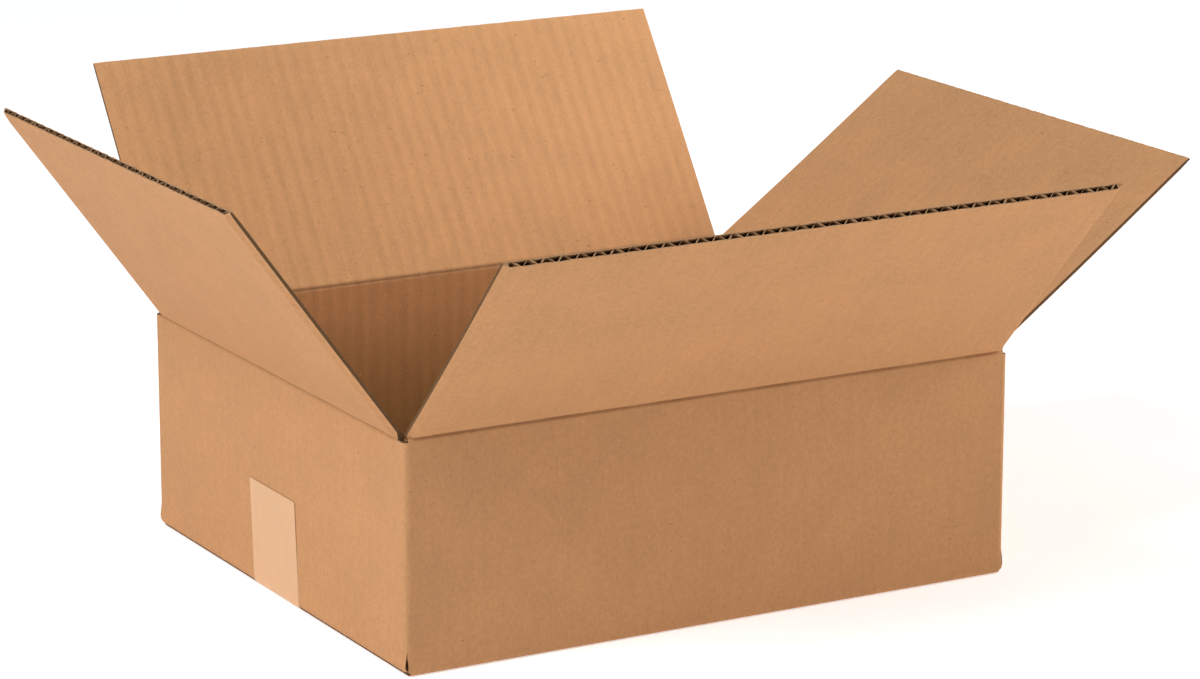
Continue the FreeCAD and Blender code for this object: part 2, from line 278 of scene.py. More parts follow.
@dataclass(frozen=True)
class KraftFacing:
    """Brown kraft paper over flutes.

    Stripes is how strongly the flute lines show in the colour: partly the glue lines that show
    through, partly painted shading of the flute ripple. First is the flute phase where the paper
    is glued down. The crease amount is how much the score darkens it: partly scuffed fibres,
    partly painted shade in the fold. The deep tint is painted shade on the wall far below the
    score, and foot_shade painted shade from the base fold on. The drift amount is a painted light
    gradient over the width of one panel, and span the places on the sheet between which it
    changes. Low_wall and foot are the places between which the painted shade of the wall sets
    in and the painted shade of the base fold takes over.
    """

    name: str
    colour: Triple
    stripes: float
    first: float
    crease_scuff_and_shade: float
    deep: Triple = WHITE
    painted_light_gradient: float = 0.0
    span: Pair = (0.66, 0.94)
    tone: float = 0.93
    fold_reach: float = 0.0016
    edge_reach: float = 0.0011
    low_wall: Pair = (-0.085, 0.010)
    foot: Pair = (-0.112, -0.104)
    foot_shade: Triple = (0.80, 0.80, 0.80)
    relief: float = 0.00011

    def make(self) -> bpy.types.Material:
        """Build the material: clouds, fibres, specks, flute lines, scuffed folds, painted shade."""
        g = Graph(self.name)
        sheet = g.attribute("sheet", "Vector")
        fluted = self.stripes * 2.2
        weights = {
            Speckle.CLOUDS: 0.16, Speckle.BLOTCHES: 0.11, Speckle.FIBRES: 0.17,
            Speckle.GRAIN: 0.24, Speckle.MOTTLE: 0.32 - fluted, Speckle.STREAKS: fluted,
        }
        noise = {kind: g.speckle(kind, sheet) for kind in weights}
        lines = (g.attribute("flute") - self.first).wave(1.0)
        ragged = g.speckle(Speckle.RAGGED, sheet)
        folds = g.attribute("fold").fade(0.0, self.fold_reach, 1.0, 0.0)
        edges = g.attribute("edge").fade(0.0, self.edge_reach, 1.0, 0.0)
        amount: Value | float = self.tone
        for kind, weight in weights.items():
            amount = amount + (noise[kind] - 0.5) * weight
        # Flute lines: glue lines and painted shading of the ripple. Near the top score the paper
        # darkens, partly scuffed fibres and partly painted shade; worn cut edges turn lighter.
        amount = amount + lines * (ragged * self.stripes) - folds * self.crease_scuff_and_shade + edges * 0.05
        # Painted light: a gradient of tone across the sheet between the places of span.
        if self.painted_light_gradient:
            amount = amount + g.axis(sheet, 0).fade(*self.span, self.painted_light_gradient, -self.painted_light_gradient)
        warmer = tuple(c * k for c, k in zip(self.colour, (1.03, 0.985, 0.93)))
        colour = g.shade(g.mix(noise[Speckle.CLOUDS], self.colour, warmer), amount)
        # Painted shade: the inner wall turns darker and a little greener from the score down, and a
        # grey painted shade covers the paper from the base fold on.
        if self.deep != WHITE:
            reach = g.axis(sheet, 1)
            tint = g.mix(reach.fade(*self.low_wall), self.deep, WHITE)
            tint = g.mix(reach.fade(*self.foot), self.foot_shade, tint)
            colour = g.stretch(colour, tint)
        dark = g.speckle(Speckle.DARK_SPECKS, sheet).fade(0.70, 0.79)
        pale = g.speckle(Speckle.PALE_SPECKS, sheet).fade(0.69, 0.78)
        colour = g.mix(dark * 0.5, colour, tuple(c * 0.42 for c in self.colour))
        colour = g.mix(pale * 0.4, colour, tuple(min(c * 1.35, 0.9) for c in self.colour))
        fibres = noise[Speckle.FIBRES]
        height = fibres * 0.5 + noise[Speckle.GRAIN] * 0.3 + noise[Speckle.BLOTCHES] * 0.6
        roughness = 0.80 + (fibres - 0.5) * 0.16 + folds * 0.04
        return g.finish(colour, roughness, g.bump(height, self.relief), 0.12)


@dataclass(frozen=True)
class RawPaper:
    """Paper that is not a facing: the fluted medium, or the fluffy cut ends of the sheet.

    Depth is the colour further in than edge_reach, where it is another one: painted shade.
    """

    name: str
    colour: Triple
    depth: Triple | None = None
    edge_reach: float = 0.0042
    relief: float = 0.0002

    def make(self) -> bpy.types.Material:
        """Build the material: short fibres, and painted shade that may darken it away from the cut.
        """
        g = Graph(self.name)
        sheet = g.attribute("sheet", "Vector")
        fibres = g.speckle(Speckle.RAW_FIBRES, sheet)
        patches = g.speckle(Speckle.RAW_PATCHES, sheet)
        # Painted shade: away from the cut the colour turns to the darker depth colour.
        inside = g.attribute("edge").fade(0.0, self.edge_reach)
        colour = g.mix(inside, self.colour, self.depth or self.colour)
        colour = g.shade(colour, 0.95 + (fibres - 0.5) * 0.7 + (patches - 0.5) * 0.3)
        return g.finish(colour, 0.92, g.bump(fibres * 0.8 + patches, self.relief), 0.15)


@dataclass(frozen=True)
class TapeFilm:
    """Matt tan tape with faint lines along its length."""

    name: str = "tape_film"
    colour: Triple = (0.69, 0.415, 0.22)
    clouded: Triple = (0.71, 0.405, 0.205)
    edge_reach: float = 0.0007
    relief: float = 0.00012

    def make(self) -> bpy.types.Material:
        """Build the material: lengthways lines, clouds of trapped air and a soft gloss."""
        g = Graph(self.name)
        sheet = g.attribute("sheet", "Vector")
        lines = g.speckle(Speckle.TAPE_LINES, sheet)
        clouds = g.speckle(Speckle.TAPE_CLOUDS, sheet)
        grain = g.speckle(Speckle.TAPE_GRAIN, sheet)
        amount = 0.95 + (lines - 0.5) * 0.06 + (clouds - 0.5) * 0.12 + (grain - 0.5) * 0.12
        edges = g.attribute("edge").fade(0.0, self.edge_reach, 1.0, 0.0)
        colour = g.shade(g.mix(clouds, self.colour, self.clouded), amount - edges * 0.10)
        normal = g.bump(lines * 0.3 + clouds + grain * 0.2, self.relief)
        return g.finish(colour, 0.52 + (clouds - 0.5) * 0.2, normal, 0.35)


@dataclass(frozen=True)
class PlainStage:
    """White floor, lit from below as a light table is, and full white beyond the lights."""

    name: str = "pale_floor"
    colour: Triple = (0.93, 0.93, 0.93)
    glow: float = 0.42
    rim: Pair = (1.4, 3.2)

    def make(self) -> bpy.types.Material:
        """Build the material: even near the box, brighter between the two distances of rim."""
        g = Graph(self.name)
        place = g.node("ShaderNodeTexCoord", output="Object")
        cloud = g.speckle(Speckle.FLOOR_CLOUDS, place)
        colour = g.shade(self.colour, 1.0 + (cloud - 0.5) * 0.01)
        reach = g.node("ShaderNodeVectorMath", {"operation": "LENGTH"}, {0: place}, "Value")
        glow = g.mix(reach.fade(*self.rim), (self.glow,) * 3, WHITE)
        return g.finish(colour, 0.9, None, 0.1, glow)


@dataclass(frozen=True)
class Board:
    """Single-wall corrugated board, in millimetres."""

    thickness: float = 4.0
    liner: float = 0.40
    medium: float = 0.40
    pitch: float = 8.15
    tip: float = 0.37
    ripple_out: float = 0.020
    ripple_in: float = 0.050
    stops: tuple[float, ...] = (-0.045, 0.045, 0.14, 0.25, 0.36, 0.455, 0.545, 0.64, 0.75, 0.86)

    def levels(self, phase: Array) -> Array:
        """Depth of the six paper surfaces under the outer face.

        Args:
            phase: place along the flute wave, 0 where the medium meets the outer facing.

        Returns:
            Six depths for each phase, as shares of the thickness.
        """
        run = np.abs(phase - np.round(phase)) * self.pitch
        half = self.pitch / 2
        t = np.clip((run - self.tip) / (half - 2 * self.tip), 0, 1)
        rise = self.thickness - 2 * self.liner - self.medium
        middle = self.liner + self.medium / 2 + rise * (0.35 * t + 0.65 * t * t * (3 - 2 * t))
        slope = rise / (half - 2 * self.tip) * (0.35 + 3.9 * t * (1 - t)) * ((t > 0) & (t < 1))
        thick = self.medium / 2 * np.sqrt(1 + slope**2)
        top = np.full_like(middle, self.liner)
        low = np.full_like(middle, self.thickness - self.liner)
        over = np.maximum(middle - thick, top)
        under = np.minimum(middle + thick, low)
        over = np.where(over - top < 0.02, top, over)
        under = np.where(low - under < 0.02, low, under)
        zero = np.zeros_like(middle)
        full = np.full_like(middle, self.thickness)
        return np.stack([zero, top, over, under, low, full], axis=-1) / self.thickness

    def columns(self, start: float, stop: float, phase_at: float, extra: list[float]) -> Array:
        """Places of the mesh columns across the flutes.

        Args:
            start: first place.
            stop: last place.
            phase_at: a place where the wave has phase 0.
            extra: places that must have a column.

        Returns:
            Sorted places.
        """
        first = math.floor((start - phase_at) / self.pitch) - 1
        last = math.ceil((stop - phase_at) / self.pitch) + 1
        fixed = np.array(sorted({start, stop, *extra}))
        waves = (np.arange(first, last)[:, None] + np.array(self.stops)[None, :]).ravel()
        places = phase_at + waves * self.pitch
        places = places[(places > start) & (places < stop)]
        near = np.abs(places[:, None] - fixed[None, :]).min(axis=1)
        return np.sort(np.concatenate([places[near > 0.2], fixed]))


BOARD = Board()


def add_object(name: str, data: bpy.types.ID) -> bpy.types.Object:
    """New object in the scene."""
    made = bpy.data.objects.new(name, data)
    bpy.context.scene.collection.objects.link(made)
    return made


def point_at(thing: bpy.types.Object, spot: Triple, way: Vector) -> None:
    """Put a camera or light at a spot and turn it one way."""
    thing.location = spot
    thing.rotation_mode = "QUATERNION"
    thing.rotation_quaternion = way.to_track_quat("-Z", "Y")


def smooth(x: Array) -> Array:
    """Smooth step from 0 to 1."""
    x = np.clip(x, 0, 1)
    return x * x * (3 - 2 * x)


def run_length(line: Array) -> Array:
    """Distance of each point of a line from its first one."""
    return np.concatenate([[0], np.cumsum(np.linalg.norm(np.diff(line, axis=0), axis=1))])


def layered(outer: Array, inner: Array, share: Array) -> Array:
    """Points of all the surfaces from the outer face to the inner one, by each column's shares."""
    return outer[:, :, None] + (inner - outer)[:, :, None] * share[None, :, :, None]


def soft_noise(x: Array, seed: int, waves: int = 5) -> Array:
    """Smooth repeatable wobble.

    Args:
        x: places, where 1 is about one wave.
        seed: seed of the wave sizes.
        waves: number of waves that are added.

    Returns:
        Values of about -1 to 1.
    """
    draw = np.random.default_rng(seed)
    rate = draw.uniform(0.5, 2.2, waves)
    turn = draw.uniform(0, 2 * math.pi, waves)
    size = draw.uniform(0.4, 1.0, waves)
    total = sum(s * np.sin(2 * math.pi * r * x + t) for r, t, s in zip(rate, turn, size))
    return total / size.sum() * 1.6


class SheetMesh:
    """Mesh of a layered sheet on a grid of rows, columns and layers of paper."""

    def __init__(self, points: Array, filled: Array) -> None:
        """Keep the grid.

        Args:
            points: rows by columns by surfaces by 3, in millimetres.
            filled: rows - 1 by columns - 1 by surfaces - 1, true where there is paper.
        """
        self.points = points
        self.filled = filled
        self.values: dict[str, Array] = {}

    def store(self, name: str, values: Array | float) -> None:
        """Keep a value for each grid point under an attribute's name."""
        self.values[name] = np.broadcast_to(values, self.points.shape[:3])

    def coat(self, across: Array, reach: Array, depth: Array | float) -> None:
        """Keep where each grid point lies on the flat sheet.

        Args:
            across: place across the sheet, in millimetres.
            reach: place along it.
            depth: place through it.
        """
        parts = [np.broadcast_to(part, self.points.shape[:3]) for part in (across, reach, depth)]
        self.values["sheet"] = np.stack(parts, axis=-1) * MM

    def _quads(self) -> tuple[Array, Array]:
        """Faces between paper and air.

        Returns:
            Corner numbers of each face, and its finish.
        """
        rows, columns, surfaces = self.points.shape[:3]
        number = np.arange(rows * columns * surfaces).reshape(rows, columns, surfaces)
        paper = np.pad(self.filled, 1)
        faces, finishes = [], []

        def keep(corners: list[Array], show: Array, finish: Array) -> None:
            """Add the faces that show."""
            stack = np.stack(corners, axis=-1)[show]
            faces.append(stack)
            finishes.append(np.broadcast_to(finish, show.shape)[show])

        across = paper[1:-1, 1:-1, 1:] != paper[1:-1, 1:-1, :-1]
        finish = np.full(surfaces, Finish.FLUTE.value)
        finish[0], finish[-1] = Finish.OUTER.value, Finish.INNER.value
        keep(
            [number[:-1, :-1], number[1:, :-1], number[1:, 1:], number[:-1, 1:]],
            across, finish,
        )
        ends = paper[1:, 1:-1, 1:-1] != paper[:-1, 1:-1, 1:-1]
        finish = np.full(surfaces - 1, Finish.CUT.value)
        if surfaces > 2:
            finish[1:-1] = Finish.MEDIUM.value
        keep(
            [number[:, :-1, :-1], number[:, 1:, :-1], number[:, 1:, 1:], number[:, :-1, 1:]],
            ends, finish,
        )
        sides = paper[1:-1, 1:, 1:-1] != paper[1:-1, :-1, 1:-1]
        keep(
            [number[:-1, :, :-1], number[1:, :, :-1], number[1:, :, 1:], number[:-1, :, 1:]],
            sides, np.array(Finish.SIDE.value),
        )
        return np.concatenate(faces), np.concatenate(finishes)

    def build(self, name: str, materials: list[bpy.types.Material]) -> bpy.types.Object:
        """Make the object.

        Args:
            name: name of the piece.
            materials: finishes in the order of Finish.

        Returns:
            The object, in metres in the row frame.
        """
        faces, finishes = self._quads()
        flat = self.points.reshape(-1, 3)
        key = np.round(flat * 2000).astype(np.int64)
        used = np.unique(faces)
        _, first, same = np.unique(key[used], axis=0, return_index=True, return_inverse=True)
        renumber = np.zeros(len(flat), np.int64)
        renumber[used] = same.ravel()
        kept = used[first]
        faces = renumber[faces]
        loops = []
        slots = []
        for face, slot in zip(faces.tolist(), finishes.tolist()):
            ring = [face[i] for i in range(4) if face[i] != face[i - 1]]
            if len(set(ring)) >= 3 and len(set(ring)) == len(ring):
                loops.append(ring)
                slots.append(slot)
        mesh = bpy.data.meshes.new(name)
        mesh.from_pydata((flat[kept] * MM).tolist(), [], loops)
        mesh.polygons.foreach_set("material_index", slots)
        for label, values in self.values.items():
            wide = values.ndim == 4
            data = values.reshape(-1, 3)[kept] if wide else values.reshape(-1)[kept]
            kind = "FLOAT_VECTOR" if wide else "FLOAT"
            attribute = mesh.attributes.new(label, kind, "POINT")
            attribute.data.foreach_set(
                "vector" if wide else "value", data.astype(np.float32).ravel()
            )
        self._face_outward(mesh)
        for material in materials:
            mesh.materials.append(material)
        mesh.polygons.foreach_set("use_smooth", [True] * len(mesh.polygons))
        mesh.set_sharp_from_angle(angle=math.radians(38))
        LOG.info("%s: %d faces", name, len(loops))
        return add_object(name, mesh)

    @staticmethod
    def _face_outward(mesh: bpy.types.Mesh) -> None:
        """Turn all the faces outward."""
        work = bmesh.new()
        work.from_mesh(mesh)
        bmesh.ops.recalc_face_normals(work, faces=work.faces)
        work.to_mesh(mesh)
        work.free()


@dataclass
class Profile:
    """Section of a panel from the free edge of its bottom flap to that of its top flap.

    Every row has an outer and an inner point (distance out from the middle of the box, height)
    and how far the upright corners are rounded there. Tags name the rows that are looked up.
    """

    outer: list[Pair] = field(default_factory=list)
    inner: list[Pair] = field(default_factory=list)
    rounded: list[float] = field(default_factory=list)
    tags: dict[str, int] = field(default_factory=dict)

    def add(self, outer: Pair, inner: Pair, rounded: float = 0.0, tag: str = "") -> None:
        """Add one row.

        Args:
            outer: point of the outer face.
            inner: point of the inner face.
            rounded: 1 where the upright corners are round, 0 where the sheet is flat.
            tag: name of the row, if it is looked up later.
        """
        if tag:
            self.tags[tag] = len(self.outer)
        self.outer.append(outer)
        self.inner.append(inner)
        self.rounded.append(rounded)


@dataclass(frozen=True)
class Rows:
    """Where the rows of every panel lie above the foot of its wall.

    Wall holds heights, under_slot distances down from the slot's floor, to_score and to_flap
    shares of the way up to the score and over the crushed board, flap distances from the fold
    line, and to_edge distances back from the free edge.
    """

    wall: tuple[float, ...] = (20.0, 45.0, 70.0, 88.0)
    under_slot: tuple[float, ...] = (8.5, 5.5, 3.5, 2.1, 1.1, 0.5, 0.0)
    to_score: tuple[float, ...] = (0.25, 0.45, 0.62, 0.76, 0.88, 1.0)
    to_flap: tuple[float, ...] = (0.05, 0.10, 0.16, 0.23, 0.32, 0.45, 0.65, 1.0)
    flap: tuple[float, ...] = (10.0, 20.0, 36.0, 54.0, 72.0, 90.0, 106.0, 117.0)
    to_edge: tuple[float, ...] = (6.0, 2.6, 1.2, 0.5, 0.12)


ROWS = Rows()


@dataclass
class Panel:
    """One wall of the carton with its top and bottom flap.

    Half and half_along are half the box across and along the wall, and flap_half is half the
    width of a flap. Score is how deep the top flap's fold line lies in the board, and reach
    the flap's length from that line. The fields after the seed say how the board is rounded,
    pressed and bowed.
    """

    name: str
    body: str
    turn: float
    lean: float
    half: float
    half_along: float
    flap_half: float
    score: float
    score_height: float
    reach: float
    groove: float
    groove_width: float
    seed: int
    slot_floor: float = 105.9
    corner_round: float = 3.5
    corner_inside: float = 1.0
    corner_glide: float = 3.0
    crush: float = 7.0
    least_ripple: float = 0.15
    dent: float = 0.32
    dent_reach: float = 1.6
    pinch: float = 0.62
    pinch_reach: float = 3.0
    pinch_outside: float = 0.85
    closed_side: float = 2.5
    squeeze: float = 0.20
    flap_bow: float = 0.45
    wall_bow: float = 0.30
    bend_reach: float = 5.0

    def bottom(self, profile: Profile) -> None:
        """Add the rows of the bottom flap and base fold, up to the foot of the wall."""
        raise NotImplementedError

    @property
    def up(self) -> Array:
        """Direction of the top flap in the section, from the score to the free edge."""
        lean = math.radians(self.lean)
        return np.array([math.sin(lean), math.cos(lean)])

    @property
    def out(self) -> Array:
        """Outward normal of the top flap in the section."""
        lean = math.radians(self.lean)
        return np.array([math.cos(lean), -math.sin(lean)])

    @property
    def pivot(self) -> Array:
        """Fold line of the top flap in the section."""
        return np.array([self.half - self.score, self.score_height])

    @cached_property
    def section(self) -> Profile:
        """Section of the whole panel."""
        p = Profile()
        self.bottom(p)
        face = self.half - BOARD.thickness
        for z in ROWS.wall:
            p.add((self.half, z), (face, z), 1.0)
        tags = {ROWS.under_slot[0]: "slot_root", ROWS.under_slot[-1]: "slot"}
        floor = self.slot_floor
        for drop in ROWS.under_slot:
            p.add((self.half, floor - drop), (face, floor - drop), 1.0, tags.get(drop, ""))
        half_turn = math.tan(math.radians(self.lean) / 2)
        lift_out = self.score * half_turn
        lift_in = (BOARD.thickness - self.score) * half_turn
        top_out = self.score_height - lift_out
        top_in = self.score_height + lift_in
        for share in ROWS.to_score:
            outer = (self.half, floor + (top_out - floor) * share)
            inner = (face, floor + (top_in - floor) * share)
            p.add(outer, inner, 1.0 - share, "score" if share == 1.0 else "")
        for share in ROWS.to_flap:
            outer = self.flap_point(lift_out + (self.crush - lift_out) * share, True)
            inner = self.flap_point(-lift_in + (self.crush + lift_in) * share, False)
            p.add(outer, inner, 0.0, "flap_root" if share == 1.0 else "")
        for reach in (*ROWS.flap, *(self.reach - left for left in ROWS.to_edge)):
            p.add(self.flap_point(reach, True), self.flap_point(reach, False))
        p.tags["tip"] = len(p.outer) - 1
        return p

    def flap_point(self, reach: float, outer: bool) -> Pair:
        """Distance out and height of one face of the top flap, at a reach from its fold line."""
        depth = self.score if outer else self.score - BOARD.thickness
        spot = self.pivot + self.up * reach + self.out * depth
        return float(spot[0]), float(spot[1])

    @cached_property
    def places(self) -> Array:
        """Places of the mesh columns along the wall, measured round the upright corners."""
        flat = self.half_along - self.corner_round
        end = flat + self.corner_round * math.pi / 4
        arc = [flat + (end - flat) * k / 4 for k in range(5)]
        near = [self.flap_half - inset for inset in (2.5, 1.7, 1.1, 0.6, 0.25)]
        fixed = {*arc, self.flap_half, *near}
        return BOARD.columns(-end, end, -self.flap_half, [*(-c for c in fixed), *fixed])

    @cached_property
    def size(self) -> Array:
        """Distance of each column from the middle of the wall."""
        return np.abs(self.places)

    @cached_property
    def phase(self) -> Array:
        """Place of each column on the flute wave."""
        return (self.places + self.flap_half) / BOARD.pitch

    @cached_property
    def outer(self) -> Array:
        """Outer point of each row."""
        return np.array(self.section.outer)

    @cached_property
    def inner(self) -> Array:
        """Inner point of each row."""
        return np.array(self.section.inner)

    @cached_property
    def along(self) -> Array:
        """Distance of each row along the sheet from the top score."""
        run = run_length((self.outer + self.inner) / 2)
        return run - run[self.row("score")]

    def row(self, tag: str) -> int:
        """Number of a named row."""
        return self.section.tags[tag]

    def from_row(self, tag: str) -> Array:
        """Distance of each row along the sheet from a named one."""
        return self.along - self.along[self.row(tag)]

    def from_score(self, face: Array) -> Array:
        """Straight distance of each row of one face from the top score."""
        return np.linalg.norm(face - face[self.row("score")], axis=1)

    def corners(self) -> tuple[Array, Array, Array, Array]:
        """Round upright corners, drawn by the distance along the outer face.

        Returns:
            Places of the columns on the outer and inner faces, then how far each draws in.
        """
        size = self.size
        rounded = np.array(self.section.rounded)[:, None]
        flat = self.half_along - self.corner_round
        angle = np.clip((size - flat) / self.corner_round, 0, math.pi / 4)
        curl = 1 - np.cos(angle)
        arc_out = np.where(size > flat, flat + self.corner_round * np.sin(angle), size)
        start = flat - self.corner_glide
        corner = self.half_along - BOARD.thickness - self.corner_inside
        glide = np.clip((size - start) / self.corner_glide, 0, 1)
        arc_in = np.where(size > start, start + (corner - start) * glide, size)
        arc_in = arc_in + self.corner_inside * np.sin(angle)
        side = np.sign(self.places)
        a_out = side * (size + (arc_out - size) * rounded)
        a_in = side * (size + (arc_in - size) * rounded)
        inset_out = (self.corner_round * curl)[None, :] * rounded
        inset_in = (self.corner_inside * curl)[None, :] * rounded
        return a_out, a_in, inset_out, inset_in

    def normals(self) -> Array:
        """Outward normal of each row in the section, turning at the base and over the score."""
        bend = smooth(self.along / 3.0 + 0.5) * math.radians(self.lean)
        normal = np.stack([np.cos(bend), -np.sin(bend)], axis=-1)
        wall = np.clip((self.outer[:, 1] - 6.0) / 8.0, 0, 1)[:, None]
        base = np.array([0.0, -1.0])[None, :] * (1 - wall) + normal * wall
        low = np.arange(len(normal)) < self.row("wall")
        normal = np.where(low[:, None], base, normal)
        return normal / np.linalg.norm(normal, axis=1, keepdims=True)

    def scored(self) -> tuple[Array, Array]:
        """Pressed line of the top score, as wide as the flap.

        Returns:
            Depth of the narrow groove outside and of the wider dent inside.
        """
        band = smooth((self.flap_half + 1.6 - self.size) / 2.0)
        wander = 1.0 + 0.22 * soft_noise(self.places / 60.0, self.seed + 5)
        narrow = np.exp(-((self.from_score(self.outer) / self.groove_width) ** 2))
        share = np.clip(self.from_score(self.inner) / self.dent_reach, 0, 1)
        wide = 0.5 * (1 + np.cos(math.pi * share))
        groove = self.groove * narrow[:, None] * (band * wander)[None, :]
        return groove, self.dent * wide[:, None] * band[None, :]

    def ripples(self) -> tuple[Array, Array]:
        """Flute lines in the facings, flattened where the board is crushed.

        Returns:
            How far the outer facing sinks in and the inner one stands out.
        """
        least = self.least_ripple
        plain = np.clip(np.abs(self.along) / self.crush, least, 1)[:, None]
        plain = plain * np.clip(self.from_row("fold") ** 2 / 60.0, least, 1)[:, None]
        wave = 0.5 * np.cos(2 * math.pi * self.phase)
        return BOARD.ripple_out * (0.5 - wave) * plain, BOARD.ripple_in * (0.5 + wave) * plain

    def pinched(self, spot_out: Array, spot_in: Array) -> tuple[Array, Array]:
        """Press the cut sides of the top flap thin, mostly from outside, as the knives do.

        Args:
            spot_out: points of the outer face.
            spot_in: points of the inner face.

        Returns:
            The two faces, closer together along the cut sides.
        """
        inside = np.clip((self.flap_half - self.size) / self.pinch_reach, 0, 1)
        from_slot = np.clip(self.from_row("slot") / 4.0, 0, 1)
        thin = self.pinch * np.cos(inside * math.pi / 2) ** 1.5
        thin = np.where(self.size > self.flap_half, 0, thin)
        across = (spot_in - spot_out) * (from_slot[:, None] * thin[None, :])[..., None]
        outside = self.pinch_outside
        return spot_out + across * outside, spot_in - across * (1 - outside)

    def mesh(self) -> SheetMesh:
        """Layered sheet of the panel."""
        a_out, a_in, inset_out, inset_in = self.corners()
        groove, dent = self.scored()
        ripple_out, ripple_in = self.ripples()
        normal = self.normals()
        bow = self.warp()
        spot_out = self.place(a_out, self.outer, normal, bow - groove - ripple_out - inset_out)
        spot_in = self.place(a_in, self.inner, normal, bow + dent + ripple_in - inset_in)
        share = BOARD.levels(self.phase)
        share[0] = share[-1] = np.array([0.0, 0.12, 0.38, 0.62, 0.88, 1.0])
        points = layered(*self.pinched(spot_out, spot_in), share)
        self.rag(points)
        sheet = SheetMesh(points, self.paper())
        across = self.places[None, :, None] + 400.0 * self.seed
        depth = share[None] * BOARD.thickness * 12.0
        sheet.coat(across, self.along[:, None, None], depth)
        sheet.store("flute", self.phase[None, :, None])
        sheet.store("fold", self.fold_distance(share) * MM)
        sheet.store("edge", self.edge_distance()[:, :, None] * MM)
        return sheet

    def fold_distance(self, share: Array) -> Array:
        """Distance of every grid point to the top score, which grows faster inside.

        Args:
            share: depth of the surfaces, as shares of the thickness.

        Returns:
            Distances in millimetres.
        """
        to_out = self.from_score(self.outer)[:, None, None] / (self.groove_width * 1.6)
        to_in = self.from_score(self.inner)[:, None, None] / 1.5
        mixed = to_out * (1 - share[None]) + to_in * share[None]
        beside = np.clip(self.size - self.flap_half, 0, None)
        return mixed * 1.6 + beside[None, :, None]

    def edge_distance(self) -> Array:
        """Distance of every row and column to the nearest cut edge."""
        number = np.arange(len(self.along))
        nearest = np.minimum(-self.from_row("tip"), self.along - self.along[0])[:, None]
        sides = np.minimum(nearest, np.abs(self.size - self.flap_half)[None, :])
        is_flap = (number >= self.row("slot")) | (number <= self.row("fold"))
        nearest = np.where(is_flap[:, None], sides, nearest)
        slot = np.minimum(nearest, np.abs(self.from_row("slot"))[:, None])
        return np.where((self.size > self.flap_half)[None, :], slot, nearest)

    def warp(self) -> Array:
        """Slow outward bow of the flap and of the wall, for each row and column."""
        along = self.along
        flap = np.sin(math.pi * np.clip(along / along[self.row("tip")], 0, 1)) ** 1.2
        wall = np.sin(math.pi * np.clip(along / along[self.row("wall")], 0, 1))
        across = soft_noise(self.places / (self.half_along * 2), self.seed, 3)
        belly = 1 - (self.places / self.half_along) ** 2
        return (
            self.flap_bow * flap[:, None] * across[None, :]
            - self.wall_bow * wall[:, None] * belly[None, :]
        )

    def rag(self, points: Array) -> None:
        """Make the cut at the top flap's free edge uneven, and press it a little thin.

        Args:
            points: grid points, changed in place.
        """
        tip = self.row("tip")
        back = points[tip - 1] - points[tip]
        back /= np.linalg.norm(back, axis=-1, keepdims=True)
        layers = points.shape[2]
        draw = np.random.default_rng(self.seed + 40)
        for k in range(layers):
            wobble = 0.5 + 0.5 * soft_noise(self.places / 3.1, self.seed * 11 + k // 2, 6)
            fine = draw.uniform(0, 1, len(wobble))
            points[tip, :, k] += back[:, k] * (0.10 * wobble + 0.07 * fine)[:, None]
        # Flutes lean where the knife went through
        waves = np.round(self.phase * 2).astype(int)
        lean = draw.uniform(-1.3, 1.0, waves.max() - waves.min() + 1)[waves - waves.min()]
        lean = lean * np.abs(np.sin(2 * math.pi * self.phase))
        step = np.gradient(points[tip, :, 0], axis=0)
        step /= np.linalg.norm(step, axis=-1, keepdims=True)
        squeeze = self.squeeze + 0.06 * soft_noise(self.places / 23.0, self.seed + 60)
        share = np.linspace(0.5, -0.5, layers)
        share[1] += 0.22
        share[-2] -= 0.22
        for behind, fade in enumerate((1.0, 0.9, 0.7, 0.35)):
            row = points[tip - behind]
            for k, amount in ((2, 0.5), (3, -0.5)):
                row[:, k] += step * (lean * amount * fade)[:, None]
            board = row[:, -1] - row[:, 0]
            for k in range(layers):
                row[:, k] += board * (squeeze * fade * share[k])[:, None]

    def paper(self) -> Array:
        """Which cells hold paper, as rows by columns by layers."""
        middle = np.abs(self.places[1:] + self.places[:-1]) / 2
        filled = np.ones((len(self.outer) - 1, len(middle), LAYERS), bool)
        beside = middle > self.flap_half
        open_cell = middle < self.flap_half - self.closed_side
        slot = self.row("slot")
        filled[slot:, beside] = False
        filled[: self.row("fold"), beside] = False
        for k in HOLLOW:
            filled[self.row("flap_root") : self.row("tip"), open_cell, k] = False
            filled[self.row("slot_root") : slot, beside, k] = False
            if "base_root" in self.section.tags:
                filled[: self.row("base_root"), ~beside, k] = False
        return filled

    def place(self, a: Array, section: Array, normal: Array, shift: Array) -> Array:
        """Points of the panel in the row frame.

        Args:
            a: place along the wall, rows by columns.
            section: distance out and height of each row.
            normal: outward direction of each row in the section.
            shift: how far each point moves outward.

        Returns:
            Rows by columns by 3.
        """
        out = section[:, 0][:, None] + normal[:, 0][:, None] * shift
        high = section[:, 1][:, None] + normal[:, 1][:, None] * shift
        turn = math.radians(self.turn)
        c, s = math.cos(turn), math.sin(turn)
        return np.stack([a * c + out * s, a * s - out * c, high], axis=-1)

    def world(self, spot: Array) -> Triple:
        """Point of the section in the middle of the wall, in metres in the row frame."""
        turn = math.radians(self.turn)
        return (
            float(spot[0] * math.sin(turn)) * MM,
            float(-spot[0] * math.cos(turn)) * MM,
            float(spot[1]) * MM,
        )

    def build(self, materials: list[bpy.types.Material], stands_for: list[str]) -> None:
        """Make the panel and hide the CAD nodes that it stands for.

        Args:
            materials: finishes in the order of Finish.
            stands_for: CAD nodes that it replaces.
        """
        piece = self.mesh().build(self.name, materials)
        below = self.pivot - np.array([0.0, self.bend_reach])
        above = self.pivot + self.up * self.bend_reach
        self.world(below)
        self.world(above)
        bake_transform(piece)
        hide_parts(*stands_for)


